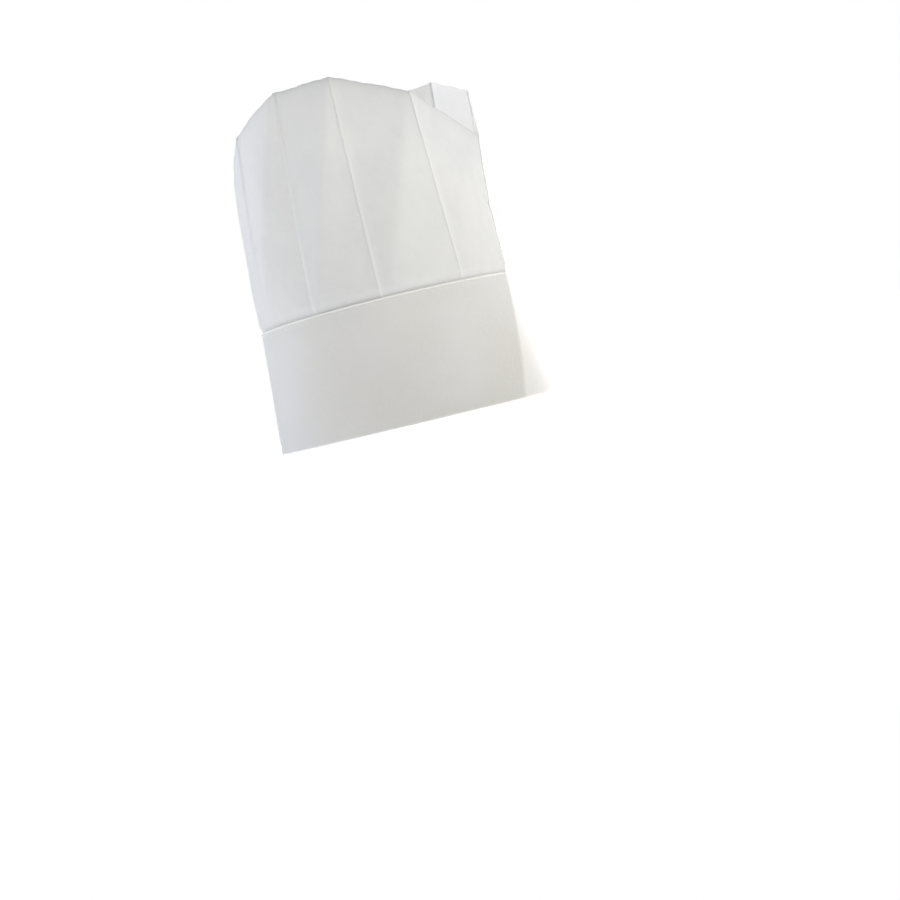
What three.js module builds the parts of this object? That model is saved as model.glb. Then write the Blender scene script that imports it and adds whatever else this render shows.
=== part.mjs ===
// Paper chef hat: a deep paper headband, and a tall pleated paper crown that is tucked inside its top edge.
// Millimetres, +Z up. The hat stands on the headband's lower edge, with the origin in the middle of it.
// The front crease faces -Y and the wearer's right side faces -X.
import * as THREE from 'three';

// Driving dimensions
const BAND_HEIGHT = 91;
const BAND_WALL = 1.4;
const CROWN_WALL = 1.2;
const TUCK_DEPTH = 13;
const TUCK_GAP = 0.55;
const HEM_HEIGHT = 1.6;
const HEM_LIFT = 0.4;
const PLEAT_COUNT = 10;
const PLEAT_LIFT = 1.6;
const PLEAT_REACH = 9;
const FOLD_THICKNESS = 0.7;
const FLARE_HEIGHT = 6;
const FLARE_LIFT = 0.6;
const FLATTEN_POWER = 2.6;

// The paper keeps nearly the same length round the head while its oval grows rounder from the lower edge
// to the rim. Half length runs from front to back, half width from side to side, and back is how far the
// oval's middle stands behind the origin.
const OVALS = {
  lowerEdge: { halfLength: 107.3, halfWidth: 75, back: -0.1 },
  bandTop: { halfLength: 94.05, halfWidth: 84.5, back: 2.65 },
  rim: { halfLength: 95, halfWidth: 89, back: -3.7 },
};

// The headband's two pressed creases. Turn is the angle round the hat, from the front by the wearer's right.
// Lift is how far the crease stands out of the oval, and reach is how far it is felt along the paper.
const CREASES = [
  { name: 'front', turnAtBottom: 25, turnAtTop: 3, lift: 9, reach: 30 },
  { name: 'back', turnAtBottom: 178, turnAtTop: 176, lift: 2.6, reach: 26 },
];

// One row for each pleat, from the front crease round by the wearer's right side. Its turns are the angles
// of its foot at the headband and of its top at the rim. Rise is the height of its top above the headband,
// and out is how far that top stands out of the rim's oval. Of the panel that follows, arch is how much of
// the oval's curve the rim keeps, from 0, straight, to 1, round. Belly is how far the paper beside the pleat
// swells out half way up.
const PLEATS = [
  { name: 'front crease', foot: 2.5, top: 0, rise: 99.5, out: 3.1, arch: 0.1, belly: -2 },
  { name: 'right front', foot: 29.5, top: 37, rise: 134.7, out: 0, arch: 0.25, belly: 0 },
  { name: 'right fore side', foot: 67.5, top: 70, rise: 155, out: 0, arch: 0.15, belly: 0.5 },
  { name: 'right rear side', foot: 99, top: 95.7, rise: 155, out: 0, arch: 1.1, belly: 1.5 },
  { name: 'right back', foot: 130.5, top: 124.2, rise: 136, out: 0, arch: 0.25, belly: 2.2 },
  { name: 'back crease', foot: 176, top: 172, rise: 111, out: 3.5, arch: 0.6, belly: 3 },
  { name: 'left back', foot: 213, top: 213, rise: 141, out: 0, arch: 0.5, belly: 4 },
  { name: 'left rear side', foot: 250, top: 254, rise: 161, out: 1, arch: 0.15, belly: 1.5 },
  { name: 'left fore side', foot: 288, top: 295.5, rise: 162.3, out: 0, arch: 0.1, belly: 0.5 },
  { name: 'left front', foot: 326, top: 328.5, rise: 141, out: 0, arch: 0.1, belly: 0 },
];

// The slanting fold that breaks a panel into two flat faces. It runs from a share of the panel's width
// at the headband to another at the rim, and stands out by its lift half way up.
const SLANT_FOLDS = [
  { panel: 0, shareAtFoot: 0.9, shareAtRim: 0.1, lift: 1.4 },
  { panel: 1, shareAtFoot: 0.86, shareAtRim: 0.06, lift: 6.0 },
  { panel: 2, shareAtFoot: 0.95, shareAtRim: 0.05, lift: 5.5 },
  { panel: 3, shareAtFoot: 0.95, shareAtRim: 0.05, lift: 5.5 },
  { panel: 4, shareAtFoot: 0.6, shareAtRim: 0.3, lift: 1.0 },
  { panel: 5, shareAtFoot: 0.5, shareAtRim: 0.4, lift: 0.8 },
  { panel: 6, shareAtFoot: 0.15, shareAtRim: 0.85, lift: 1.6 },
  { panel: 7, shareAtFoot: 0.06, shareAtRim: 0.95, lift: 5.5 },
  { panel: 8, shareAtFoot: 0.06, shareAtRim: 0.95, lift: 5.5 },
  { panel: 9, shareAtFoot: 0.08, shareAtRim: 0.93, lift: 2.4 },
];

// The small dent half way up the front crease
const FRONT_DENT = { share: 0.5, reach: 0.2, depth: 0.9, width: 15 };

const BAND_COLUMNS = 120;
const BAND_ROWS = 6;
const PANEL_SHARES = [0, 0.14, 0.28, 0.42, 0.56, 0.7, 0.82, 0.92];
const CROWN_SHARES = [0.05, 0.1, 0.2, 0.32, 0.44, 0.56, 0.68, 0.8, 0.91, 1];
// A panel's width in the middle of the crown, for lengths that are measured along the paper
const PANEL_WIDTH = (2 * Math.PI * OVALS.rim.halfWidth) / PLEAT_COUNT;

const BAND_PAPER = { name: 'headband paper', color: 0xdddcd7, roughness: 0.82, metalness: 0 };
const CROWN_PAPER = { name: 'crown paper', color: 0xe4e5e6, roughness: 0.78, metalness: 0 };

const { lerp, degToRad } = THREE.MathUtils;

// A smooth hump that is 1 in the middle and 0 from its reach outward
function hump(distance, reach) {
  const x = Math.min(Math.abs(distance) / reach, 1);
  return (1 - x * x) ** 2;
}

// A pressed crease: a sharp top with sides that run out straight and then soften
function creaseShape(distance, reach) {
  return Math.exp(-Math.abs(distance) / reach);
}

// The oval between two others
function mixOvals(a, b, share) {
  return {
    halfLength: lerp(a.halfLength, b.halfLength, share),
    halfWidth: lerp(a.halfWidth, b.halfWidth, share),
    back: lerp(a.back, b.back, share),
  };
}

// The point of an oval at an angle from the front, moved outward along the oval's own normal
function ovalPoint(oval, angle, outward) {
  const normal = new THREE.Vector2(-Math.sin(angle) / oval.halfWidth, -Math.cos(angle) / oval.halfLength);
  normal.normalize();
  const place = new THREE.Vector2(
    -oval.halfWidth * Math.sin(angle),
    oval.back - oval.halfLength * Math.cos(angle),
  );
  return place.addScaledVector(normal, outward);
}

// The shortest turn from one angle to another
function turnBetween(a, b) {
  const turn = (a - b) % (2 * Math.PI);
  if (turn > Math.PI) return turn - 2 * Math.PI;
  if (turn < -Math.PI) return turn + 2 * Math.PI;
  return turn;
}

// How far the creases lift the headband at an angle and a share of its height
function creaseLift(angle, share) {
  const radius = OVALS.bandTop.halfWidth;
  let lift = 0;
  for (const crease of CREASES) {
    const ridge = degToRad(lerp(crease.turnAtBottom, crease.turnAtTop, share));
    lift += crease.lift * creaseShape(turnBetween(angle, ridge) * radius, crease.reach);
  }
  return lift;
}

// A closed wall from rings of outer and inner points, all with the same number of columns.
// Rings run from the bottom up, and points run from the front by the wearer's right side.
function wallGeometry(outerRings, innerRings) {
  const columns = outerRings[0].length;
  const loop = [...outerRings, ...innerRings.slice().reverse()];
  const positions = loop.flat().flatMap((point) => [point.x, point.y, point.z]);
  const index = [];
  for (let row = 0; row < loop.length; row += 1) {
    const nextRow = (row + 1) % loop.length;
    for (let column = 0; column < columns; column += 1) {
      const nextColumn = (column + 1) % columns;
      const a = row * columns + column;
      const b = row * columns + nextColumn;
      const c = nextRow * columns + nextColumn;
      const d = nextRow * columns + column;
      index.push(a, d, c, a, c, b);
    }
  }
  const geometry = new THREE.BufferGeometry();
  geometry.setAttribute('position', new THREE.Float32BufferAttribute(positions, 3));
  geometry.setIndex(index);
  geometry.computeVertexNormals();
  return geometry;
}

function namedMesh(name, geometry, paper) {
  const mesh = new THREE.Mesh(geometry, new THREE.MeshStandardMaterial(paper));
  mesh.name = name;
  return mesh;
}

// One ring of the headband at a height, moved outward from the oval
function bandRing(z, outward) {
  const share = z / BAND_HEIGHT;
  const oval = mixOvals(OVALS.lowerEdge, OVALS.bandTop, share);
  const ring = [];
  for (let column = 0; column < BAND_COLUMNS; column += 1) {
    const angle = (2 * Math.PI * column) / BAND_COLUMNS;
    const place = ovalPoint(oval, angle, outward + creaseLift(angle, share));
    ring.push(new THREE.Vector3(place.x, place.y, z));
  }
  return ring;
}

// Headband: a plain wall with pressed creases at the front and back, and a thin hem along its top edge
function makeHeadband() {
  const hemStart = BAND_HEIGHT - HEM_HEIGHT;
  const tuckStart = BAND_HEIGHT - TUCK_DEPTH;
  const levels = [BAND_HEIGHT - TUCK_DEPTH / 2, hemStart];
  for (let row = BAND_ROWS; row >= 0; row -= 1) levels.unshift((tuckStart * row) / BAND_ROWS);
  const outer = levels.map((z) => bandRing(z, 0));
  const inner = levels.map((z) => bandRing(z, -BAND_WALL));
  outer.push(bandRing(hemStart + HEM_LIFT, HEM_LIFT), bandRing(BAND_HEIGHT, HEM_LIFT));
  inner.push(bandRing(hemStart + HEM_LIFT, -BAND_WALL), bandRing(BAND_HEIGHT, -BAND_WALL));
  return namedMesh('headband', wallGeometry(outer, inner), BAND_PAPER);
}

// The columns of the crown: each belongs to a panel and knows its share of the panel's width
// and how far the pleat at the panel's end lifts it
function crownColumns() {
  const foldShare = FOLD_THICKNESS / PANEL_WIDTH;
  const columns = [];
  for (let panel = 0; panel < PLEAT_COUNT; panel += 1) {
    for (const share of [...PANEL_SHARES, 1 - foldShare]) {
      const toFold = (1 - foldShare - share) * PANEL_WIDTH;
      const lift = toFold < PLEAT_REACH ? PLEAT_LIFT * (1 - toFold / PLEAT_REACH) : 0;
      columns.push({ panel, share, lift });
    }
  }
  return columns;
}

// A column's two pleats, the one that its panel starts at and the one that it ends at
function pleatsOf(column) {
  const last = column.panel + 1 === PLEAT_COUNT;
  const end = PLEATS[(column.panel + 1) % PLEAT_COUNT];
  const turn = last ? 360 : 0;
  return [PLEATS[column.panel], { ...end, foot: end.foot + turn, top: end.top + turn }];
}

// A value of the pleat table in a column: straight from pleat to pleat
function between(column, key) {
  const [start, end] = pleatsOf(column);
  return lerp(start[key], end[key], column.share);
}

// The angle of a column at a share of the crown's height
function columnAngle(column, height) {
  return degToRad(lerp(between(column, 'foot'), between(column, 'top'), height));
}

// How far the panels have gone from round to flat at a share of the crown's height
function flattened(height) {
  return 1 - (1 - height) ** FLATTEN_POWER;
}

// How far a column's slanting fold lifts it at a share of the crown's height
function foldLift(column, height) {
  const fold = SLANT_FOLDS.find((row) => row.panel === column.panel);
  const line = lerp(fold.shareAtFoot, fold.shareAtRim, height);
  const facet = Math.min(column.share / line, (1 - column.share) / (1 - line));
  return fold.lift * facet * 4 * height * (1 - height);
}

// How far the front dent presses a column in at a share of its height
function dentDepth(column, height) {
  const { share, reach, depth, width } = FRONT_DENT;
  const fromFront = turnBetween(columnAngle(column, height), 0) * OVALS.rim.halfWidth;
  return depth * hump(height - share, reach) * hump(fromFront, width);
}

// A point of the crown above the headband. Height is a share, 0 at the headband and 1 at the rim.
function crownPoint(column, height, side) {
  const [start, end] = pleatsOf(column);
  const oval = mixOvals(OVALS.bandTop, OVALS.rim, height);
  const angle = columnAngle(column, height);
  const startAngle = degToRad(lerp(start.foot, start.top, height));
  const endAngle = degToRad(lerp(end.foot, end.top, height));
  const straight = ovalPoint(oval, startAngle, start.out * height);
  straight.lerp(ovalPoint(oval, endAngle, end.out * height), column.share);
  const round = ovalPoint(oval, angle, between(column, 'out') * height);
  const place = round.lerp(straight, flattened(height) * (1 - start.arch));

  const rise = between(column, 'rise') * height;
  const clearOfBand = Math.min(rise / FLARE_HEIGHT, 1);
  const flare = FLARE_LIFT * clearOfBand * (1 - height);
  const belly = between(column, 'belly') * 4 * height * (1 - height);
  const creases = creaseLift(angle, 1) * (1 - height);
  const skin = side === 'outer' ? column.lift * clearOfBand : -CROWN_WALL;
  const tucked = (BAND_WALL + TUCK_GAP) * (1 - clearOfBand);
  const shape = foldLift(column, height) - dentDepth(column, height);

  const normal = ovalPoint(oval, angle, 1).sub(ovalPoint(oval, angle, 0));
  place.addScaledVector(normal, flare + belly + creases + skin - tucked + shape);
  return new THREE.Vector3(place.x, place.y, BAND_HEIGHT + rise);
}

// A point of the strip that is tucked inside the headband
function tuckPoint(column, z, side) {
  const angle = columnAngle(column, 0);
  const share = z / BAND_HEIGHT;
  const oval = mixOvals(OVALS.lowerEdge, OVALS.bandTop, share);
  const skin = side === 'outer' ? 0 : -CROWN_WALL;
  const place = ovalPoint(oval, angle, creaseLift(angle, share) - BAND_WALL - TUCK_GAP + skin);
  return new THREE.Vector3(place.x, place.y, z);
}

// Pleated crown: ten panels, each lapped over the next by a narrow pressed pleat, open at the top
function makeCrown() {
  const columns = crownColumns();
  const tuckLevels = [BAND_HEIGHT - TUCK_DEPTH, BAND_HEIGHT - TUCK_DEPTH / 2, BAND_HEIGHT];
  const rings = (side) => [
    ...tuckLevels.map((z) => columns.map((column) => tuckPoint(column, z, side))),
    ...CROWN_SHARES.map((height) => columns.map((column) => crownPoint(column, height, side))),
  ];
  return namedMesh('pleated_crown', wallGeometry(rings('outer'), rings('inner')), CROWN_PAPER);
}

const hat = new THREE.Group();
hat.name = 'paper_chef_hat';
hat.add(makeHeadband(), makeCrown());

export default hat;
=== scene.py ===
"""Dresses the paper chef hat: a pleated crown of thin paper, tucked inside a deep headband."""
import logging
import math
from dataclasses import dataclass, field
from enum import Enum
from typing import Any, Callable, Union

import bpy
import numpy as np
from mathutils import Matrix


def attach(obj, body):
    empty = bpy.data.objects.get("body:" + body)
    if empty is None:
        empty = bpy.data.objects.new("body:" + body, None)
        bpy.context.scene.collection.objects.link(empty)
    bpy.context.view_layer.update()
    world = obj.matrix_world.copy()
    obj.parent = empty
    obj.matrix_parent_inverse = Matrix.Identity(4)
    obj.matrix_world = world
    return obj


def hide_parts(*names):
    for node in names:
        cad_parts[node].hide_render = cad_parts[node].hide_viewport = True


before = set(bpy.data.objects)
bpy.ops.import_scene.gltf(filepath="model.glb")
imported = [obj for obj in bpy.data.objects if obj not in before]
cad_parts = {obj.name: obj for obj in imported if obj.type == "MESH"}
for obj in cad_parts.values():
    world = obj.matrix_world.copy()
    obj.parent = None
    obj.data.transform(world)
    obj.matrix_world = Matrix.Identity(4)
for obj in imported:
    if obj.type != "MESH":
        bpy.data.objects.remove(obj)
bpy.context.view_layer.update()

log = logging.getLogger("paper_hat")

MM = 0.001
SHARP_FROM = math.radians(55)
Array = np.ndarray
Number = Union[float, Array]
Colour = tuple[float, float, float]


class PaperSlot(Enum):
    """The record's two material slots."""

    BAND = "band_paper"
    CROWN = "crown_paper"


def lerp(a: Number, b: Number, share: Number) -> Number:
    """Goes straight from a to b by a share."""
    return a + (b - a) * share


def smooth(x: Number) -> Number:
    """Rises from 0 to 1 with soft ends, for x from 0 to 1."""
    x = np.clip(x, 0, 1)
    return x * x * (3 - 2 * x)


def turn_between(a: Number, b: Number) -> Number:
    """Gives the shortest turn from angle b to angle a, in radians."""
    return (a - b + math.pi) % (2 * math.pi) - math.pi


@dataclass(frozen=True)
class Oval:
    """One level of the hat seen from above, in mm.

    Args:
        half_length: Half of its length from front to back.
        half_width: Half of its width from side to side.
        back: How far its middle lies behind the hat's middle.
    """

    half_length: Number
    half_width: Number
    back: Number

    def mixed(self, other: "Oval", share: Number) -> "Oval":
        """Gives the oval between this one and another."""
        return Oval(
            lerp(self.half_length, other.half_length, share),
            lerp(self.half_width, other.half_width, share),
            lerp(self.back, other.back, share),
        )

    def normal(self, angle: Array) -> Array:
        """Gives the oval's outward normals at angles from the front by the wearer's right side."""
        way = np.stack([-np.sin(angle) / self.half_width, -np.cos(angle) / self.half_length], -1)
        return way / np.linalg.norm(way, axis=-1, keepdims=True)

    def point(self, angle: Array, outward: Number = 0.0) -> Array:
        """Gives points of the oval, moved outward along its normals.

        Args:
            angle: Angles from the front by the wearer's right side, in radians.
            outward: How far each point stands out of the oval, in mm.

        Returns:
            Points as an array whose last axis is x and y, in mm.
        """
        x = -self.half_width * np.sin(angle)
        y = self.back - self.half_length * np.cos(angle)
        shape = np.broadcast_shapes(np.shape(x), np.shape(y), np.shape(outward))
        place = np.stack([np.broadcast_to(x, shape), np.broadcast_to(y, shape)], -1)
        return place + self.normal(angle) * np.broadcast_to(outward, shape)[..., None]


LOWER_EDGE = Oval(107.3, 75, -0.1)
BAND_TOP = Oval(94.05, 84.5, 2.65)
RIM = Oval(95, 89, -3.7)
BAND_HEIGHT = 91.0


@dataclass(frozen=True)
class Crease:
    """A crease that was pressed into the headband when it was packed flat.

    Args:
        turn_at_bottom: Its turn at the lower edge, in degrees.
        turn_at_top: Its turn at the top edge, in degrees.
        lift: How far it lifts the paper, in mm.
        reach: How far to each side the lift fades, in mm.
    """

    turn_at_bottom: float
    turn_at_top: float
    lift: float
    reach: float

    def stands_out(self, angle: Array, share: Number) -> Array:
        """Gives how far the crease lifts the paper.

        Args:
            angle: Angles from the front by the wearer's right side, in radians.
            share: Heights as shares of the band's height.

        Returns:
            Lifts in mm.
        """
        ridge = np.radians(lerp(self.turn_at_bottom, self.turn_at_top, share))
        away = turn_between(angle, ridge) * BAND_TOP.half_width
        return self.lift * np.exp(-np.abs(away) / self.reach)


CREASES = (Crease(25, 3, 9.0, 30), Crease(178, 176, 2.6, 26))


def crease_lift(angle: Array, share: Number) -> Array:
    """Adds up both creases at an angle and a share of the band's height."""
    return sum(crease.stands_out(angle, share) for crease in CREASES)


@dataclass(frozen=True)
class Ripple:
    """Slow uneven waves in the paper, made of rounds that close on themselves.

    Args:
        seed: Picks one set of waves.
        rounds: Fewest and most waves round the hat.
        lengths: Shortest and longest wave up the hat, in mm.
        size: How far the waves stand out, in mm.
        count: How many waves are added up.
    """

    seed: int
    rounds: tuple[int, int]
    lengths: tuple[float, float]
    size: float
    count: int = 16

    def at(self, angle: Array, z: Array) -> Array:
        """Gives the waves' height.

        Args:
            angle: Angles round the hat, in radians.
            z: Heights, in mm.

        Returns:
            How far the paper stands out, in mm.
        """
        rng = np.random.default_rng(self.seed)
        total = np.zeros(np.broadcast_shapes(np.shape(angle), np.shape(z)))
        for _ in range(self.count):
            rounds = rng.integers(self.rounds[0], self.rounds[1] + 1)
            pitch = 2 * math.pi / rng.uniform(*self.lengths)
            first, second = rng.uniform(0, 2 * math.pi, 2)
            slant = rng.uniform(-1, 1)
            along = np.cos(rounds * angle + slant * pitch * z + first)
            total = total + along * np.cos(pitch * z + second)
        return self.size * total / math.sqrt(self.count)


BAND_WAVES = Ripple(seed=4, rounds=(4, 13), lengths=(70, 190), size=0.28)
BAND_WAVES_RISE = 30.0


def band_skin(angle: Array, z: Array, outward: Number) -> Array:
    """Gives points of the headband's outer face, moved outward.

    Args:
        angle: Angles from the front by the wearer's right side, in radians.
        z: Heights above the lower edge, in mm.
        outward: How far each point stands out of that face, in mm.

    Returns:
        Points as an array whose last axis is x, y and z, in mm.
    """
    share = np.clip(z / BAND_HEIGHT, 0, 1)
    oval = LOWER_EDGE.mixed(BAND_TOP, share)
    waves = BAND_WAVES.at(angle, z) * smooth(z / BAND_WAVES_RISE)
    place = oval.point(angle, outward + crease_lift(angle, share) + waves)
    return np.concatenate([place, np.broadcast_to(z, place.shape[:-1])[..., None]], -1)


@dataclass
class Skin:
    """A grid of points over a sheet, with what its finish needs to know at each of them.

    Args:
        points: Points by row and column, in mm.
        flat: Place on the uncut sheet by row and column: along and up, in mm.
        painted_highlight: How much painted highlight each point has along a folded edge, from 0 to
            1.
        layers: How much each point lies on other layers of the sheet, scaled per pleat by its
            painted
        lightening, from 0 to 1.
        cut: How much painted shade each point has along the rim, from 0 to 1.
        fade: How much painted shade each point has towards the top, from 0 to 1.
    """

    points: Array
    flat: Array
    painted_highlight: Array
    layers: Array
    cut: Array
    fade: Array


def strip_faces(rows: int, columns: int) -> Array:
    """Joins a section's rows into a tube along its columns and fills both ends.

    Args:
        rows: How many points the section has, up its outer side and then down its inner one.
        columns: How many sections there are.

    Returns:
        Four corners for each quad.
    """
    index = np.arange(rows * columns).reshape(rows, columns)
    above = np.roll(index, -1, axis=0)
    sides = np.stack([above[:, :-1], above[:, 1:], index[:, 1:], index[:, :-1]], -1)
    quads = [sides.reshape(-1, 4)]
    for column, turned in ((0, False), (columns - 1, True)):
        near, far = index[:rows // 2, column], index[::-1][:rows // 2, column]
        end = np.stack([near[:-1], far[:-1], far[1:], near[1:]], -1)
        quads.append(end[:, ::-1] if turned else end)
    return np.concatenate(quads)


def closed_strip(name: str, skin: Skin) -> bpy.types.Object:
    """Closes a skin into one thin solid.

    Args:
        name: The piece's name.
        skin: The sheet's section by rows, up its outer side and down its inner one.

    Returns:
        The new object in metres, smooth but for the edges where the sheet ends.
    """
    faces = strip_faces(*skin.points.shape[:2])
    points = skin.points.reshape(-1, 3) * MM
    flat = skin.flat.reshape(-1, 2) * MM
    mesh = bpy.data.meshes.new(name)
    mesh.vertices.add(len(points))
    mesh.vertices.foreach_set("co", points.astype(np.float32).ravel())
    mesh.loops.add(faces.size)
    mesh.loops.foreach_set("vertex_index", faces.astype(np.int32).ravel())
    mesh.polygons.add(len(faces))
    mesh.polygons.foreach_set("loop_start", np.arange(0, faces.size, 4, dtype=np.int32))
    mesh.update(calc_edges=True)
    place = mesh.attributes.new("flat", "FLOAT_VECTOR", "POINT")
    level = np.column_stack([flat, np.zeros(len(flat))])
    place.data.foreach_set("vector", level.astype(np.float32).ravel())
    for key in ("painted_highlight", "layers", "cut", "fade"):
        values = getattr(skin, key).astype(np.float32).ravel()
        mesh.attributes.new(key, "FLOAT", "POINT").data.foreach_set("value", values)
    mesh.validate()
    mesh.shade_smooth()
    mesh.set_sharp_from_angle(angle=SHARP_FROM)
    made = bpy.data.objects.new(name, mesh)
    bpy.context.collection.objects.link(made)
    return made


def grid_normals(points: Array) -> Array:
    """Gives a grid's normals, outward where its columns run round by the wearer's right."""
    normal = np.cross(np.gradient(points, axis=0), np.gradient(points, axis=1))
    return normal / np.linalg.norm(normal, axis=-1, keepdims=True)


def lengths_along(points: Array, axis: int) -> Array:
    """Gives the running length of a grid's lines along one axis, from 0."""
    steps = np.linalg.norm(np.diff(points, axis=axis), axis=-1)
    return np.insert(np.cumsum(steps, axis=axis), 0, 0.0, axis=axis)


def grid_area(points: Array) -> float:
    """Gives the area of a grid of points in mm, in square metres."""
    across, other = points[1:, 1:] - points[:-1, :-1], points[1:, :-1] - points[:-1, 1:]
    return float(np.linalg.norm(np.cross(across, other), axis=-1).sum() / 2) * MM * MM


class Signal:
    """A node's output, which adds the nodes for the maths that is done with it."""

    def __init__(self, tree: "NodeTree", socket: bpy.types.NodeSocket) -> None:
        """Keeps the output and the tree that it is in."""
        self.tree = tree
        self.socket = socket

    def _math(self, operation: str, *values: Any) -> "Signal":
        """Adds one Math node on values or signals."""
        names = ("Value", "Value_001")
        return self.tree.add("ShaderNodeMath", {"operation": operation}, dict(zip(names, values)))

    def __add__(self, other: Any) -> "Signal":
        """Adds."""
        return self._math("ADD", self, other)

    def __radd__(self, other: Any) -> "Signal":
        """Adds to a plain number."""
        return self._math("ADD", other, self)

    def __sub__(self, other: Any) -> "Signal":
        """Takes away."""
        return self._math("SUBTRACT", self, other)

    def __rsub__(self, other: Any) -> "Signal":
        """Takes this away from a plain number."""
        return self._math("SUBTRACT", other, self)

    def __mul__(self, other: Any) -> "Signal":
        """Multiplies."""
        return self._math("MULTIPLY", self, other)

    def __rmul__(self, other: Any) -> "Signal":
        """Multiplies a plain number."""
        return self._math("MULTIPLY", other, self)

    def between(self, low: float, high: float) -> "Signal":
        """Rises softly from 0 at low to 1 at high."""
        inputs = {"Value": self, "From Min": low, "From Max": high}
        return self.tree.add("ShaderNodeMapRange", {"interpolation_type": "SMOOTHSTEP"}, inputs)


class NodeTree:
    """A node tree that is built by code."""

    def __init__(self, owner: Union[bpy.types.Material, bpy.types.World]) -> None:
        """Empties the owner's node tree and keeps it."""
        owner.use_nodes = True
        self.tree = owner.node_tree
        self.tree.nodes.clear()

    def add(self, kind: str, settings: Union[dict[str, Any], None] = None,
            inputs: Union[dict[str, Any], None] = None, output: str = "") -> Signal:
        """Adds a node.

        Args:
            kind: The node's type.
            settings: What is set on the node first.
            inputs: Numbers, colours or signals by the name or identifier of their socket.
            output: The wanted output by name or identifier, or the first one if it is empty.

        Returns:
            The wanted output, or an empty signal for a node that has none.
        """
        node = self.tree.nodes.new(kind)
        for key, value in (settings or {}).items():
            setattr(node, key, value)
        for key, value in (inputs or {}).items():
            socket = self._socket(node.inputs, key)
            if isinstance(value, Signal):
                self.tree.links.new(value.socket, socket)
            else:
                socket.default_value = value
        if output:
            return Signal(self, self._socket(node.outputs, output))
        return Signal(self, next((socket for socket in node.outputs if socket.enabled), None))

    @staticmethod
    def _socket(sockets: Any, key: str) -> bpy.types.NodeSocket:
        """Finds a socket by its identifier or else by its name."""
        exact = [socket for socket in sockets if socket.identifier == key]
        return (exact or [socket for socket in sockets if socket.name == key and socket.enabled])[0]

    def attribute(self, name: str, output: str) -> Signal:
        """Reads a value that the mesh carries."""
        return self.add("ShaderNodeAttribute", {"attribute_name": name}, output=output)

    def stretched(self, vector: Signal, scale: tuple[float, float, float]) -> Signal:
        """Scales a vector along each of its axes."""
        inputs = {"Vector": vector, "Vector_001": scale}
        return self.add("ShaderNodeVectorMath", {"operation": "MULTIPLY"}, inputs)

    def noise(self, vector: Signal, scale: float, detail: float = 2.0,
              rough: float = 0.5) -> Signal:
        """Gives cloudy noise from 0 to 1 with features of about 1 / scale."""
        inputs = {"Vector": vector, "Scale": scale, "Detail": detail, "Roughness": rough}
        return self.add("ShaderNodeTexNoise", {"noise_dimensions": "2D"}, inputs)

    def mixed(self, share: Any, a: Any, b: Any) -> Signal:
        """Mixes two colours by a share."""
        inputs = {"Factor_Float": share, "A_Color": a, "B_Color": b}
        return self.add("ShaderNodeMix", {"data_type": "RGBA"}, inputs, "Result_Color")


def rgba(colour: Colour) -> tuple[float, float, float, float]:
    """Adds a full alpha to a colour."""
    return (*colour, 1.0)


@dataclass(frozen=True)
class PaperFinish:
    """What both papers of the hat share. Colours are linear.

    Args:
        colour: The paper's own colour.
        shade: The colour of its thicker or greyer clouds.
        painted_edge_light: The colour of the painted highlight along folded and rolled edges.
        through: The tint of the light that shines through.
        translucency: How much of the light at each side of the sheet goes through it.
        roughness: How matt the paper is.
        bump: How strong the paper's relief is.
        relief: How deep the relief is, in metres.
    """

    colour: Colour
    shade: Colour
    painted_edge_light: Colour
    through: Colour
    translucency: float
    roughness: float
    bump: float
    relief: float

    def join(self, tree: NodeTree, colour: Signal, roughness: Signal, height: Signal,
             share: Signal) -> None:
        """Joins a paper's maps into its shader.

        Args:
            tree: The node tree to build in.
            colour: The surface's colour.
            roughness: The surface's roughness.
            height: The surface's relief, from 0 to about 1.
            share: How much of the light goes through.
        """
        relief = {"Strength": self.bump, "Distance": self.relief, "Height": height}
        normal = tree.add("ShaderNodeBump", None, relief)
        face = tree.add("ShaderNodeBsdfPrincipled", None, {
            "Base Color": colour,
            "Roughness": roughness,
            "Normal": normal,
            "Specular IOR Level": 0.25,
            "Sheen Weight": 0.12,
            "Sheen Roughness": 0.6,
        })
        tint = {"Color": rgba(self.through), "Normal": normal}
        glow = tree.add("ShaderNodeBsdfTranslucent", None, tint)
        shaders = {"Fac": share, "Shader": face, "Shader_001": glow}
        both = tree.add("ShaderNodeMixShader", None, shaders)
        tree.add("ShaderNodeOutputMaterial", None, {"Surface": both})


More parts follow.
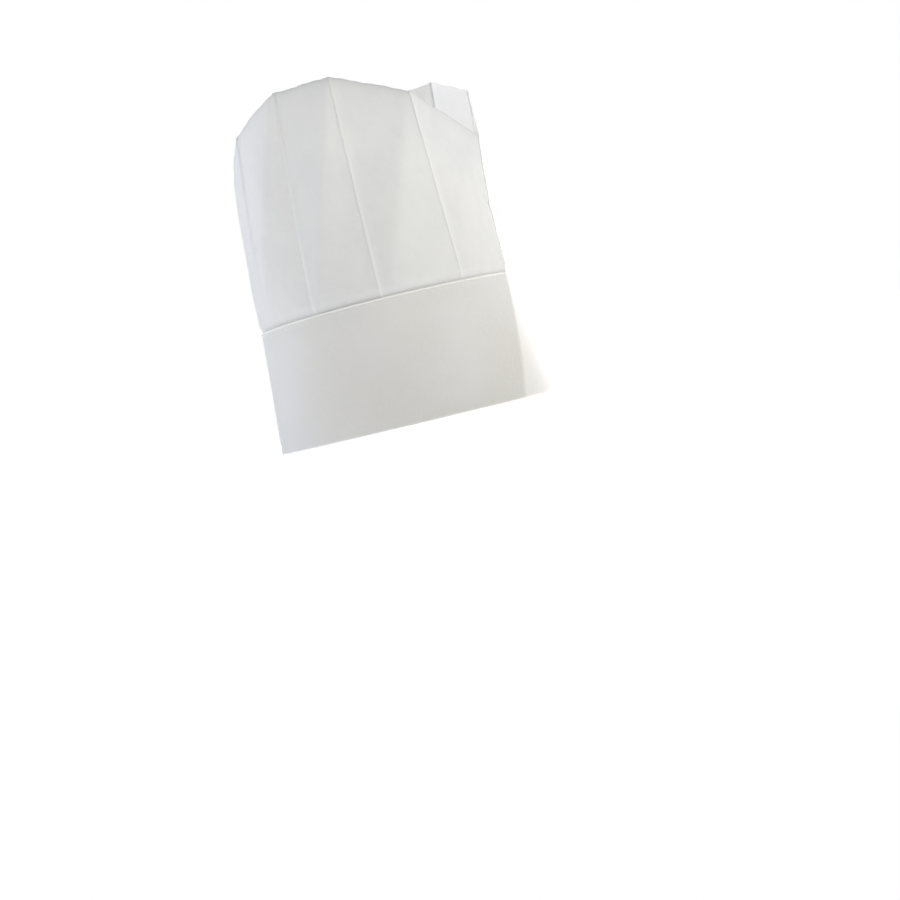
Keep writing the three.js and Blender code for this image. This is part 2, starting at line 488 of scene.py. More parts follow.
@dataclass(frozen=True)
class CrownPaper(PaperFinish):
    """Thin cloudy paper that lets light through.

    Args:
        painted_fold_light: The painted lightening over the folded layers, which offsets their
            shade.
        cut: The colour of the painted shade along the rim.
        painted_top_shade_colour: The colour of the painted shade that darkens the paper towards the
            top.
        fibre: The colour of its pale fibres.
        speck: The colour of its few specks.
    """

    colour: Colour = (0.86, 0.865, 0.87)
    shade: Colour = (0.825, 0.835, 0.85)
    painted_edge_light: Colour = (0.97, 0.965, 0.94)
    through: Colour = (0.95, 0.935, 0.905)
    translucency: float = 0.44
    roughness: float = 0.74
    bump: float = 0.5
    relief: float = 0.00016
    painted_fold_light: Colour = (0.94, 0.94, 0.93)
    cut: Colour = (0.48, 0.49, 0.51)
    painted_top_shade_colour: Colour = (0.12, 0.12, 0.12)
    fibre: Colour = (0.95, 0.95, 0.95)
    speck: Colour = (0.42, 0.41, 0.40)

    def material(self) -> bpy.types.Material:
        """Builds the crown's material.

        Returns:
            The new material.
        """
        made = bpy.data.materials.new("crown_paper")
        tree = NodeTree(made)
        flat = tree.attribute("flat", "Vector")
        keys = ("painted_highlight", "layers", "cut", "fade")
        painted_highlight, layers, cut, fade = (tree.attribute(key, "Fac") for key in keys)
        clouds = tree.noise(flat, scale=105.0, detail=4.0, rough=0.62)
        patches = tree.noise(flat, scale=30.0)
        drawn = tree.stretched(flat, (1.0, 0.45, 1.0))
        fibres = tree.noise(drawn, scale=1250.0, detail=3.0, rough=0.6)
        upright = tree.stretched(flat, (300.0, 34.0, 1.0))
        creases = tree.noise(upright, scale=1.0, detail=3.0, rough=0.55)
        specks = tree.noise(flat, scale=340.0, detail=1.0).between(0.80, 0.84)
        tone = 0.6 * clouds + 0.4 * patches
        colour = tree.mixed(tone.between(0.36, 0.66), rgba(self.colour), rgba(self.shade))
        for share, tint in (
            (0.12 * fibres.between(0.3, 0.7), self.fibre),
            # painted light: lightens the folded layers to offset their shade
            (0.8 * layers, self.painted_fold_light),
            # painted highlight: a pale line along each pleat's folded edge
            (0.85 * painted_highlight, self.painted_edge_light),
            # painted shade: a dark line along the rim with grey below it
            (0.85 * cut, self.cut),
            # painted shade: greys the paper towards the top
            (0.13 * fade, self.painted_top_shade_colour),
            (0.15 * specks, self.speck),
        ):
            colour = tree.mixed(share, colour, rgba(tint))
        rough = self.roughness + 0.10 * (fibres - 0.5) - 0.05 * painted_highlight
        height = 0.6 * fibres + 0.45 * clouds + 0.5 * creases
        share = self.translucency + 0.09 * (clouds - 0.5) + 0.05 * (fibres - 0.5)
        # less light goes through where the paper lies on other layers, and under the painted
        # highlight and painted shades
        share = share - 0.12 * cut - 0.14 * layers - 0.06 * painted_highlight - 0.08 * fade
        self.join(tree, colour, rough, height, share)
        return made


@dataclass(frozen=True)
class BandPaper(PaperFinish):
    """Stiffer smooth paper with a fine hatch of short slanting lines pressed into it.

    Args:
        lined: The colour of the pressed lines.
    """

    colour: Colour = (0.775, 0.765, 0.755)
    shade: Colour = (0.76, 0.745, 0.72)
    painted_edge_light: Colour = (0.95, 0.94, 0.92)
    through: Colour = (0.9, 0.87, 0.80)
    translucency: float = 0.16
    roughness: float = 0.78
    bump: float = 0.6
    relief: float = 0.00018
    lined: Colour = (0.93, 0.92, 0.9)

    def _hatch(self, tree: NodeTree, flat: Signal, slant: float, spacing: float,
               length: float) -> Signal:
        """Draws one set of short pressed lines.

        Args:
            tree: The node tree to build in.
            flat: Place on the sheet.
            slant: How far the lines lean from upright, in radians.
            spacing: Distance between the lines, in metres.
            length: How long the lines are, in metres.

        Returns:
            The lines, from 0 to 1.
        """
        lean = {"Vector": flat, "Angle": slant}
        turned = tree.add("ShaderNodeVectorRotate", {"rotation_type": "Z_AXIS"}, lean)
        drawn = tree.stretched(turned, (1 / spacing, 1 / length, 1.0))
        return tree.noise(drawn, scale=1.0, detail=2.0, rough=0.45).between(0.34, 0.66)

    def material(self) -> bpy.types.Material:
        """Builds the headband's material.

        Returns:
            The new material.
        """
        made = bpy.data.materials.new("band_paper")
        tree = NodeTree(made)
        flat = tree.attribute("flat", "Vector")
        painted_highlight = tree.attribute("painted_highlight", "Fac")
        patches = tree.noise(flat, scale=17.0)
        clouds = tree.noise(flat, scale=70.0, detail=3.0, rough=0.6)
        fibres = tree.noise(tree.stretched(flat, (1.0, 0.5, 1.0)), scale=1500.0)
        first = self._hatch(tree, flat, slant=0.30, spacing=0.00095, length=0.0042)
        second = self._hatch(tree, flat, slant=-0.22, spacing=0.00110, length=0.0050)
        seen = tree.noise(flat, scale=34.0).between(0.32, 0.62)
        hatch = (0.5 * first + 0.5 * second) * (0.45 + 0.55 * seen)
        base = tree.mixed(patches.between(0.34, 0.66), rgba(self.colour), rgba(self.shade))
        lined = tree.mixed(0.10 * hatch + 0.05 * fibres, base, rgba(self.lined))
        # painted highlight along the rolled top edge and the folded lower edge
        colour = tree.mixed(0.8 * painted_highlight, lined, rgba(self.painted_edge_light))
        rough = self.roughness - 0.08 * hatch + 0.04 * (fibres - 0.5)
        height = hatch + 0.25 * fibres + 0.2 * clouds
        share = self.translucency + 0.02 * (clouds - 0.5)
        self.join(tree, colour, rough, height, share)
        return made


@dataclass
class Headband:
    """The deep plain band: folded paper, creased at front and back, and lapped at the back.

    Args:
        thickness: The band's folded paper, in mm.
        hem: How far the rolled top edge stands out, in mm.
        lap_turn: Where the lap starts, in degrees from the front by the wearer's right side.
        lap: How far the band's ends lap, in mm.
        lap_rise: How far the outer end stands off the inner one, in mm.
        lap_lead: How far before the lap the outer end starts to rise, in mm.
        lap_slope: Over what length it rises, in mm.
        lean_reach: How far round from the front the columns lean with the crease, in radians.
        inner_place: Where the inner side's pattern starts on the paper, in mm.
        columns: How many columns go round.
        rows: How many rows each side has.
        finish: The band's paper.
    """

    thickness: float = 0.6
    hem: float = 0.46
    lap_turn: float = 190.0
    lap: float = 19.0
    lap_rise: float = 0.72
    lap_lead: float = 11.0
    lap_slope: float = 9.0
    lean_reach: float = 1.1
    inner_place: float = 110.0
    columns: int = 330
    rows: int = 26
    finish: BandPaper = field(default_factory=BandPaper)

    def _turns(self) -> Array:
        """Gives the columns' angles round the band, from its inner end to its outer one."""
        start, turn = math.radians(self.lap_turn), 2 * math.pi + self.lap / BAND_TOP.half_width
        return np.linspace(start, start + turn, self.columns)

    def _leaned(self, turns: Array, share: Array) -> Array:
        """Leans the columns near the front crease so that one of them runs along it.

        Args:
            turns: The columns' angles at the top edge.
            share: Heights as shares of the band's height.

        Returns:
            Angles by row and column.
        """
        front = CREASES[0]
        away = turn_between(turns, 0.0)
        weight = smooth(1 - np.abs(away) / self.lean_reach)
        lean = np.radians(lerp(front.turn_at_bottom, front.turn_at_top, share))
        return turns[None, :] + weight[None, :] * lean[:, None]

    def _profile(self) -> Array:
        """Draws the band's section.

        Returns:
            Its points by row: the offset from the outer face and the height, in mm, and how much
            painted highlight it has.
        """
        t, top = self.thickness, BAND_HEIGHT
        outer_z = (1.2, *np.linspace(3.0, top - 4.0, self.rows), top - 2.6, top - 1.9)
        outer = [(0.0, 0.35, 1.0), (0.0, 0.8, 0.7), *((0.0, z, 0.0) for z in outer_z)]
        roll = [
            (-0.10, top - 1.66, 0.0), (0.1, top - 1.5, 0.7), (self.hem * 0.85, top - 1.3, 1.0),
            (self.hem, top - 0.8, 1.0), (self.hem * 0.8, top - 0.42, 1.0),
            (self.hem * 0.3, top - 0.14, 1.0), (-0.12, top, 1.0), (-t * 0.7, top - 0.06, 0.8),
            (-t, top - 0.3, 0.5), (-t, top - 1.0, 0.2),
        ]
        inner = [(-t, z, 0.0) for z in np.linspace(top - 3.0, 1.2, self.rows)]
        foot = [(-t, 0.3, 0.4), (-t * 0.8, 0.06, 0.8), (-t * 0.5, 0.0, 1.0), (-t * 0.2, 0.06, 1.0)]
        return np.array(outer + roll + inner + foot)

    def build(self) -> tuple[bpy.types.Object, tuple[float, float]]:
        """Builds the band as one closed strip whose ends lap.

        Returns:
            The object, and the strip's length and width in metres.
        """
        offsets, heights, painted_edge_light = self._profile().T[:, :, None]
        turns = self._turns()
        angles = self._leaned(turns, np.clip(heights[:, 0] / BAND_HEIGHT, 0, 1))
        from_end = (turns[-1] - turns) * BAND_TOP.half_width
        rise = self.lap_rise * smooth((self.lap + self.lap_lead - from_end) / self.lap_slope)
        points = band_skin(angles, heights, offsets + rise)
        along = lengths_along(points, 1).mean(axis=0)
        up = heights + (offsets < -self.thickness / 2) * self.inner_place
        flat = np.stack(np.broadcast_arrays(along, up), -1)
        # painted highlight along the rolled top and the foot
        painted_highlight = np.broadcast_to(painted_edge_light, angles.shape)
        none = np.zeros_like(painted_highlight)
        length, width = float(along[-1]) * MM, float(heights.max()) * MM
        log.info("headband: strip %.4f by %.4f m", length, width)
        skin = Skin(points, flat, painted_highlight, none, none, none)
        return closed_strip("headband_paper", skin), (length, width)

    def dress(self) -> bpy.types.Object:
        """Builds the band, gives it its paper and sets it in the frame.

        Returns:
            The finished piece.
        """
        piece, size = self.build()
        piece.data.materials.append(self.finish.material())
        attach(piece, "root")
        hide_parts("headband")
        return piece


@dataclass(frozen=True)
class Pleat:
    """One pressed pleat and the panel that follows it. Turns are in degrees, and sizes are in mm.

    Args:
        foot: Turn of the pleat's foot at the headband.
        top: Turn of its top at the rim.
        rise: Height of its top above the headband.
        out: How far its top stands out of the rim's oval.
        arch: How much of the oval's curve the panel's rim keeps.
        belly: How far the paper beside the pleat swells out half way up.
        depths: How deep the fold behind its edge is, at the foot, half way up and at the rim.
        stand: How far the folded edge stands off the paper below it.
        ridge: How far the panel's slanting fold stands out half way up.
        ridge_shares: Where that fold is in the panel's width, at the foot and at the rim.
        glow: How wide the painted highlight along the pleat's folded edge is, and how much painted
        lightening its folded layers get, as a share of the most.
        shade: How strong the painted shade along the panel's rim and towards its top is, as a share
        of the strongest.
    """

    foot: float
    top: float
    rise: float
    out: float
    arch: float
    belly: float
    depths: tuple[float, float, float]
    stand: float
    ridge: float
    ridge_shares: tuple[float, float]
    glow: float
    shade: float


PLEATS = (
    Pleat(2.5, 0, 99.5, 3.1, 0.1, -2, (2.0, 2.4, 2.6), 0.42, 1.4, (0.9, 0.1), 0.5, 0.6),
    Pleat(29.5, 37, 134.7, 0, 0.25, 0, (2.0, 2.2, 3.0), 0.42, 6.0, (0.86, 0.06), 0.75, 1.0),
    Pleat(67.5, 70, 155, 0, 0.15, 0.5, (2.2, 2.8, 3.0), 0.46, 5.5, (0.95, 0.05), 1.0, 0.9),
    Pleat(99, 95.7, 155, 0, 1.1, 1.5, (2.4, 2.8, 3.0), 0.44, 5.5, (0.95, 0.05), 0.8, 0.6),
    Pleat(130.5, 124.2, 136, 0, 0.25, 2.2, (1.8, 4.2, 3.0), 0.56, 1.0, (0.6, 0.3), 0.1, 0.5),
    Pleat(176, 172, 111, 3.5, 0.6, 3, (18.0, 18.0, 18.0), 0.42, 0.8, (0.5, 0.4), 0.5, 0.3),
    Pleat(213, 213, 141, 0, 0.5, 4, (2.2, 3.0, 3.2), 0.46, 1.6, (0.15, 0.85), 0.8, 0.3),
    Pleat(250, 254, 161, 1, 0.15, 1.5, (2.0, 2.4, 2.6), 0.42, 5.5, (0.06, 0.95), 0.9, 0.3),
    Pleat(288, 295.5, 162.3, 0, 0.1, 0.5, (1.8, 1.8, 1.6), 0.42, 5.5, (0.06, 0.95), 0.9, 0.05),
    Pleat(326, 328.5, 141, 0, 0.1, 0, (2.0, 2.2, 2.2), 0.42, 2.4, (0.08, 0.93), 0.8, 0.1),
)


@dataclass(frozen=True)
class Wrinkle:
    """A short soft wrinkle pressed into one panel.

    Args:
        panel: The panel that it is in.
        start: Where it starts, as shares of the panel's width and of its height.
        end: Where it ends, in the same shares.
        depth: How deep it is, in mm.
        reach: How wide it is to each side, in mm.
    """

    panel: int
    start: tuple[float, float]
    end: tuple[float, float]
    depth: float
    reach: float

    def at(self, share: Array, height: Array, size: tuple[float, float]) -> Array:
        """Gives the wrinkle's depth, greatest half way along it.

        Args:
            share: Shares of the panel's width.
            height: Shares of the panel's height.
            size: The panel's width and height, in mm.

        Returns:
            Depths in mm.
        """
        start, end = np.array(self.start) * size, np.array(self.end) * size
        run = end - start
        x, y = share * size[0] - start[0], height * size[1] - start[1]
        along = np.clip((x * run[0] + y * run[1]) / (run @ run), 0, 1)
        away = np.hypot(x - along * run[0], y - along * run[1])
        return self.depth * (0.4 + 2.4 * along * (1 - along)) * np.exp(-((away / self.reach) ** 2))


WRINKLES = (
    Wrinkle(0, (0.0, 0.49), (0.15, 0.54), 0.9, 2.0),
    Wrinkle(0, (0.25, 0.86), (0.85, 0.84), 0.3, 3.4),
    Wrinkle(0, (0.1, 0.27), (0.55, 0.20), 0.35, 3.2),
    Wrinkle(1, (0.75, 0.62), (0.72, 0.36), 0.4, 2.2),
    Wrinkle(1, (0.5, 0.80), (0.3, 0.71), 0.35, 3.0),
    Wrinkle(2, (0.32, 0.31), (0.06, 0.17), 0.45, 2.6),
    Wrinkle(2, (0.7, 0.74), (0.45, 0.66), 0.35, 3.0),
    Wrinkle(3, (0.55, 0.45), (0.42, 0.22), 0.45, 2.8),
    Wrinkle(3, (0.3, 0.80), (0.2, 0.62), 0.4, 2.6),
    Wrinkle(6, (0.3, 0.60), (0.6, 0.52), 0.45, 3.0),
    Wrinkle(7, (0.6, 0.40), (0.8, 0.22), 0.45, 2.8),
    Wrinkle(8, (0.35, 0.72), (0.5, 0.55), 0.4, 2.8),
)


@dataclass(frozen=True)
class Dent:
    """A small dent in the front crease.

    Args:
        level: Its height, as a share of the crown's.
        depth: How deep it is, in mm.
        reach_up: How far it goes up and down, as a share of the crown's height.
        reach_round: How far it goes round to each side, in mm.
        point: How pointed it is, where 1 gives straight sides.
    """

    level: float = 0.5
    depth: float = 0.9
    reach_up: float = 0.1
    reach_round: float = 15.0
    point: float = 1.6

    def at(self, height: Array, angle: Array) -> Array:
        """Gives the dent's depth.

        Args:
            height: Shares of the crown's height.
            angle: Angles from the front by the wearer's right side, in radians.

        Returns:
            Depths in mm.
        """
        away = turn_between(angle, 0.0) * RIM.half_width
        tall = np.clip(1 - np.abs((height - self.level) / self.reach_up), 0, 1) ** self.point
        return self.depth * tall * smooth(1 - np.abs(away) / self.reach_round)


class Layer(Enum):
    """The layers of paper that a column can belong to."""

    FACE = "face"
    LIP = "lip"
    EDGE = "edge"
    MIDDLE = "middle"
    BEHIND = "behind"
    UNDER = "under"


@dataclass(frozen=True)
class Column:
    """One line of the crown's paper from its tucked edge to its rim.

    Args:
        panel: The panel whose shape it lies on.
        layer: What the column belongs to.
        place: On the face, its share of the panel's width before the lip. On the lip, its distance
            from the folded edge in mm. In the pleat, its share of that layer's width or turn.
    """

    panel: int
    layer: Layer
    place: float

    @property
    def pleat(self) -> Pleat:
        """Gives the pleat that its panel follows."""
        return PLEATS[self.panel]

    @property
    def next_pleat(self) -> Pleat:
        """Gives the pleat at its panel's other side."""
        return PLEATS[(self.panel + 1) % len(PLEATS)]


@dataclass
class Crown:
    """The tall pleated crown, one long strip of thin paper folded ten times round.

    Args:
        thickness: The paper, in mm.
        flatten_power: How soon above the band the panels go from round to flat.
        tuck: How far the strip goes down inside the headband, in mm.
        tuck_inset: How far the tucked paper lies behind the band's outer face, in mm.
        flare: How far the paper stands out just above the band, in mm.
        flare_height: Over what height it comes out of the band, in mm.
        waves_rise: Over what height above the band its slow waves start, in mm.
        waves_at_fold: How much of the waves a panel keeps beside its pleats.
        puckers_rise: Over what height above the band its puckers start, in mm.
        puckers_reach: How far up they die away, in mm.
        reach: How far the paper over a pleat takes to come down again, in mm.
        pressed: How far the layers of a pleat that is pressed flat are apart, in mm.
        pressed_share: How far up the pleats are still pressed, as a share of the height.
        lip: How wide the paper beside a folded edge is that has finer columns, in mm.
        fold_glow: How far the painted highlight along a folded edge reaches, in mm.
        lined_width: The panel width that the painted highlight lines are drawn for, in mm.
        rim_line: How far the painted dark line along the rim reaches, in mm.
        rim_shade: How far the painted grey below it reaches, in mm.
        top_shade_full: How far below the rim the painted shade is at its darkest, in mm.
        top_shade_reach: How far below the rim the painted shade starts, in mm.
        ridge_sharpness: How sharp the slanting folds are.
        ridge_margin: The nearest that they come to a pleat, as a share of the panel's width.
        ragged: The trimmed rim's unevenness: size in mm, waves round the hat and start of each
            wave.
        seam: The pleat where the strip's two ends are lapped.
        panel_size: The usual width and height of a panel, in mm.
        face_columns: How many columns cross a panel.
        closeness: How much closer they lie beside the pleats, from 0 to 1.
        lip_columns: The finer columns beside a folded edge, in mm from it.
        bend_columns: How many columns go round each bend of a pleat.
        middle_columns: The columns of its middle layer, as shares of its width.
        under_columns: The columns of its lowest layer, as shares of its width.
        lap_columns: How many columns the strip's inner end has behind its outer one.
        lap_last: Where the last of them is, as a share of the lap's width.
        tuck_rows: The tuck's rows, as shares of its depth.
        foot_rows: How many closer rows there are at the panels' feet.
        rows: How many evenly spaced rows there are above them.
        even: Where the even rows start and end, as shares of the height.
        rim_rows: The closer rows at the rim, in the same shares.
        waves: Slow waves of the panels.
        cockle: Fine cockling of the paper.
        puckers: Short gathers just above the band.
        dent: The dent in the front crease.
        finish: The crown's paper.
        columns: The strip's columns, from its inner end to its outer one.
    """

    thickness: float = 0.14
    flatten_power: float = 2.6
    tuck: float = 13.0
    tuck_inset: float = 1.4
    flare: float = 0.6
    flare_height: float = 7.0
    waves_rise: float = 26.0
    waves_at_fold: float = 0.35
    puckers_rise: float = 4.0
    puckers_reach: float = 15.0
    reach: float = 2.6
    pressed: float = 0.38
    pressed_share: float = 0.12
    lip: float = 5.6
    fold_glow: float = 3.0
    lined_width: float = 50.0
    rim_line: float = 0.8
    rim_shade: float = 5.0
    top_shade_full: float = 8.0
    top_shade_reach: float = 55.0
    ridge_sharpness: float = 14.0
    ridge_margin: float = 0.04
    ragged: tuple[tuple[float, float, float], ...] = ((0.22, 23, 1.0), (0.16, 61, 2.0))
    seam: int = 5
    panel_size: tuple[float, float] = (52.0, 150.0)
    face_columns: int = 22
    closeness: float = 0.35
    lip_columns: tuple[float, ...] = (4.2, 3.0, 2.0, 1.2, 0.6)
    bend_columns: int = 6
    middle_columns: tuple[float, ...] = (0.33, 0.66)
    under_columns: tuple[float, ...] = (0.7, 0.4, 0.15)
    lap_columns: int = 9
    lap_last: float = 0.06
    tuck_rows: tuple[float, ...] = (1.0, 0.7, 0.4, 0.15)
    foot_rows: int = 9
    rows: int = 66
    even: tuple[float, float] = (0.1, 0.97)
    rim_rows: tuple[float, ...] = (0.978, 0.985, 0.991, 0.996, 1.0)
    waves: Ripple = Ripple(seed=11, rounds=(5, 19), lengths=(60, 170), size=0.34)
    cockle: Ripple = Ripple(seed=7, rounds=(24, 60), lengths=(18, 60), size=0.085, count=26)
    puckers: Ripple = Ripple(seed=23, rounds=(38, 74), lengths=(46, 160), size=0.34, count=14)
    dent: Dent = Dent()
    finish: CrownPaper = field(default_factory=CrownPaper)
    columns: list[Column] = field(init=False)

    def __post_init__(self) -> None:
        """Lists the strip's columns."""
        across = np.linspace(0, 1, self.face_columns)
        closer = lerp(across, 0.5 - 0.5 * np.cos(across * math.pi), self.closeness)
        face = [(Layer.FACE, place) for place in closer]
        lip = [(Layer.LIP, place) for place in self.lip_columns]
        bend = np.linspace(0, 1, self.bend_columns)
        pleat = [
            *((Layer.EDGE, place) for place in bend),
            *((Layer.MIDDLE, place) for place in self.middle_columns),
            *((Layer.BEHIND, place) for place in bend),
            *((Layer.UNDER, place) for place in self.under_columns),
        ]
        lap = np.linspace(1, self.lap_last, self.lap_columns)
        self.columns = [Column(self.seam - 1, Layer.UNDER, place) for place in lap]
        for step in range(len(PLEATS)):
            last = step == len(PLEATS) - 1
            parts = face + lip + ([(Layer.LIP, 0.0)] if last else pleat)
            panel = (self.seam + step) % len(PLEATS)
            self.columns += [Column(panel, layer, place) for layer, place in parts]

    def _each(self, value: Callable[[Column], Any]) -> Array:
        """Gives one value of each column, as one row."""
        return np.array([value(column) for column in self.columns])[None, :]

    def build(self) -> tuple[bpy.types.Object, float, tuple[float, float]]:
        """Builds the crown.

        Returns:
            The object, its paper's area in square metres, and the strip's size in metres.
        """
        heights = self._heights()
        middle = self._sheet(heights)
        stand = grid_normals(middle) * (self.thickness / 2)
        along = lengths_along(middle, 1)
        up = lengths_along(middle, 0)
        flat = np.stack([np.broadcast_to(along[len(heights) // 2], up.shape), up], -1)
        looks = (flat, *self._marks(heights, up))
        points = np.concatenate([middle + stand, (middle - stand)[::-1]])
        skin = Skin(points, *(np.concatenate([values, values[::-1]]) for values in looks))
        area = grid_area(middle)
        size = (float(along.max()) * MM, float(up.max()) * MM)
        log.info("crown: strip %.4f by %.4f m, %.4f m2", *size, area)
        return closed_strip("crown_paper_sheet", skin), area, size

    def _heights(self) -> Array:
        """Spaces the rows.

        Returns:
            Their levels: below 0 in the tuck, in mm, and from 0 to 1 between the band and the rim.
        """
        tuck = -self.tuck * np.array(self.tuck_rows)
        foot = np.linspace(0, self.even[0], self.foot_rows, endpoint=False)
        return np.concatenate([tuck, foot, np.linspace(*self.even, self.rows), self.rim_rows])

    def _table(self, name: str, ahead: int) -> Array:
        """Looks one value of the pleat table up.

        Args:
            name: The value's name.
            ahead: 0 for the pleat at the panel's start, and 1 for the one at its end.

        Returns:
            One value for each column, as one row. Turns go on past a whole round.
        """
        whole = 360.0 if name in ("foot", "top") else 0.0
        side = "next_pleat" if ahead else "pleat"
        values = self._each(lambda column: getattr(getattr(column, side), name))
        rounds = self._each(lambda column: (column.panel + ahead) // len(PLEATS))
        return values + whole * rounds

    def _depth(self, height: Array) -> Array:
        """Gives the depth of the pleat at each column's panel's end.

        Args:
            height: Shares of the crown's height by row.

        Returns:
            Depths by row and column, in mm.
        """
        foot, middle, rim = (
            self._each(lambda column: column.next_pleat.depths[part]) for part in range(3)
        )
        lower = lerp(foot, middle, smooth(height * 2))
        return np.where(height < 0.5, lower, lerp(middle, rim, smooth(height * 2 - 1)))

    def _sheet(self, heights: Array) -> Array:
        """Works out the paper's middle.

        Args:
            heights: The rows' levels.

        Returns:
            Points by row and column, in mm.
        """
        height = np.clip(heights, 0, 1)[:, None]
        below = np.clip(-heights, 0, None)[:, None]
        start_turn, end_turn = (
            np.radians(lerp(self._table("foot", end), self._table("top", end), height))
            for end in (0, 1)
        )
        start_out, end_out = (self._table("out", end) for end in (0, 1))
        oval = BAND_TOP.mixed(RIM, height)
        width = (end_turn - start_turn) * (oval.half_length + oval.half_width) / 2
        share, layer_lift = self._fold(height, width)
        angle = lerp(start_turn, end_turn, share)
        start = oval.point(start_turn, start_out * height)
        chord = lerp(start, oval.point(end_turn, end_out * height), share[..., None])
        arc = oval.point(angle, lerp(start_out, end_out, share) * height)
        kept = self._table("arch", 0)
        flatness = (1 - (1 - height) ** self.flatten_power) * (1 - kept)
        place = lerp(arc, chord, flatness[..., None])
        rise = lerp(self._table("rise", 0), self._table("rise", 1), share) * height
        outward = layer_lift + self._swell(height, share, angle, rise)
        place = place + oval.normal(angle) * outward[..., None]
        z = BAND_HEIGHT + rise + self._ragged(angle) * smooth((height - 0.9) / 0.1)
        above = np.concatenate([place, z[..., None]], -1)
        tucked = band_skin(angle, BAND_HEIGHT - below, layer_lift - self.tuck_inset)
        return np.where((below > 0)[..., None], tucked, above)

    def _ragged(self, angle: Array) -> Array:
        """Gives the small unevenness of the cut rim, in mm."""
        return sum(size * np.sin(rounds * angle + start) for size, rounds, start in self.ragged)

    def _swell(self, height: Array, share: Array, angle: Array, rise: Array) -> Array:
        """Gives how far the paper stands out of its ruled form.

        Args:
            height: Shares of the crown's height by row.
            share: Shares of the panel's width by row and column.
            angle: Angles round the hat by row and column.
            rise: Heights above the band by row and column, in mm.

        Returns:
            Lifts by row and column, in mm.
        """
        clear = smooth(rise / self.flare_height)
        start, end = self._table("belly", 0), self._table("belly", 1)
        belly = lerp(start, end, share)
        lift = self.flare * clear * (1 - height) - self.tuck_inset * (1 - clear)
        lift = lift + belly * 4 * height * (1 - height) + crease_lift(angle, 1.0) * (1 - height)
        z = BAND_HEIGHT + rise
        inside = np.clip(4 * share * (1 - share), 0, 1)
        free = smooth(rise / self.waves_rise) * lerp(self.waves_at_fold, 1.0, inside)
        lift = lift + free * self.waves.at(angle, z) + clear * self.cockle.at(angle, z)
        below = BAND_WAVES.at(angle, np.full_like(angle, BAND_HEIGHT))
        lift = lift + below * (1 - smooth(rise / BAND_WAVES_RISE))
        gathered = smooth(rise / self.puckers_rise) * np.exp(-rise / self.puckers_reach)
        lift = lift + self.puckers.at(angle, z) * gathered
        lift = lift - self._wrinkles(height, share) * clear
        return lift + self._ridges(height, share) - self.dent.at(height, angle)

    def _wrinkles(self, height: Array, share: Array) -> Array:
        """Adds up the depths of the single wrinkles, by row and column, in mm."""
        panels, size = self._each(lambda column: column.panel), self.panel_size
        return sum((panels == one.panel) * one.at(share, height, size) for one in WRINKLES)

    def _ridges(self, height: Array, share: Array) -> Array:
        """Shapes the slanting fold that breaks each panel into two flat faces.

        Args:
            height: Shares of the crown's height by row.
            share: Shares of the panel's width by row and column.

        Returns:
            Lifts by row and column, in mm.
        """
        low, high = (self._each(lambda column: column.pleat.ridge_shares[end]) for end in (0, 1))
        line = np.clip(lerp(low, high, height), self.ridge_margin, 1 - self.ridge_margin)
        rising = np.clip(share / line, 1e-3, 1)
        falling = np.clip((1 - share) / (1 - line), 1e-3, 1)
        sharp = self.ridge_sharpness
        fold = (rising ** -sharp + falling ** -sharp) ** (-1 / sharp)
        size = self._each(lambda column: column.pleat.ridge)
        return size * fold * 4 * height * (1 - height)

    def _fold(self, height: Array, width: Array) -> tuple[Array, Array]:
        """Lays the strip into its pleats.

        Args:
            height: Shares of the crown's height by row.
            width: Widths of the panels by row and column, in mm.

        Returns:
            Shares of the panel's width and lifts off the innermost layer in mm, by row and column.
        """
        depth = self._depth(height)
        loose = np.maximum(self._each(lambda column: column.next_pleat.stand), self.pressed)
        stand = lerp(self.pressed, loose, smooth(height / self.pressed_share))
        bend = stand / 4
        place = self._each(lambda column: column.place)
        to_edge = self._to_edge(width)
        half_turn = place * math.pi
        face = (to_edge, stand * smooth((depth + self.reach - to_edge) / self.reach))
        ways = {
            Layer.FACE: face,
            Layer.LIP: face,
            Layer.EDGE: (bend * (1 - np.sin(half_turn)), stand - bend + bend * np.cos(half_turn)),
            Layer.MIDDLE: (lerp(bend, depth - bend, place), stand / 2 + 0 * place),
            Layer.BEHIND: (depth - bend + bend * np.sin(half_turn), bend * (1 + np.cos(half_turn))),
            Layer.UNDER: (depth * place, 0 * depth),
        }
        kinds = self._each(lambda column: column.layer.value)
        back, lift = 0.0, 0.0
        for layer, (way_back, way_up) in ways.items():
            mine = kinds == layer.value
            back = np.where(mine, way_back, back)
            lift = np.where(mine, way_up, lift)
        return 1 - back / width, lift

    def _to_edge(self, width: Number) -> Array:
        """Gives the distance of the face's and the lip's columns from the folded edge, in mm."""
        lips, place = self._each(lambda one: (one.layer is Layer.LIP, one.place)).T[..., 0]
        return np.where(lips, place, lerp(width, self.lip, place))

    def _marks(self, heights: Array, up: Array) -> tuple[Array, ...]:
        """Works out what the finish needs to know at each place.

        Args:
            heights: The rows' levels.
            up: Distances along the paper from the tucked edge by row and column, in mm.

        Returns:
            The painted highlight along folded edges, how much each place lies on other layers with
            the painted lightening there, the painted shade along the rim and the painted shade
            towards the top, each from 0 to 1.
        """
        height = np.clip(heights, 0, 1)[:, None]
        lone = self._each(lambda column: column.layer in (Layer.FACE, Layer.LIP))
        glow = self._each(lambda column: column.next_pleat.glow)
        shade = self._each(lambda column: column.pleat.shade)
        to_edge = self._to_edge(self.lined_width)
        # painted highlight: a pale line along each folded edge, as wide as the pleat's glow allows
        line = np.clip(1 - to_edge / (self.fold_glow * glow), 0, 1) ** 1.5
        painted_highlight = np.where(lone, line, glow)
        over = smooth(self._depth(height) + 0.5 - to_edge)
        # the folded layers, scaled per pleat by how much painted lightening they get
        layers = glow * np.where(lone, over, 1.0)
        below_rim = up[-1:, :] - up
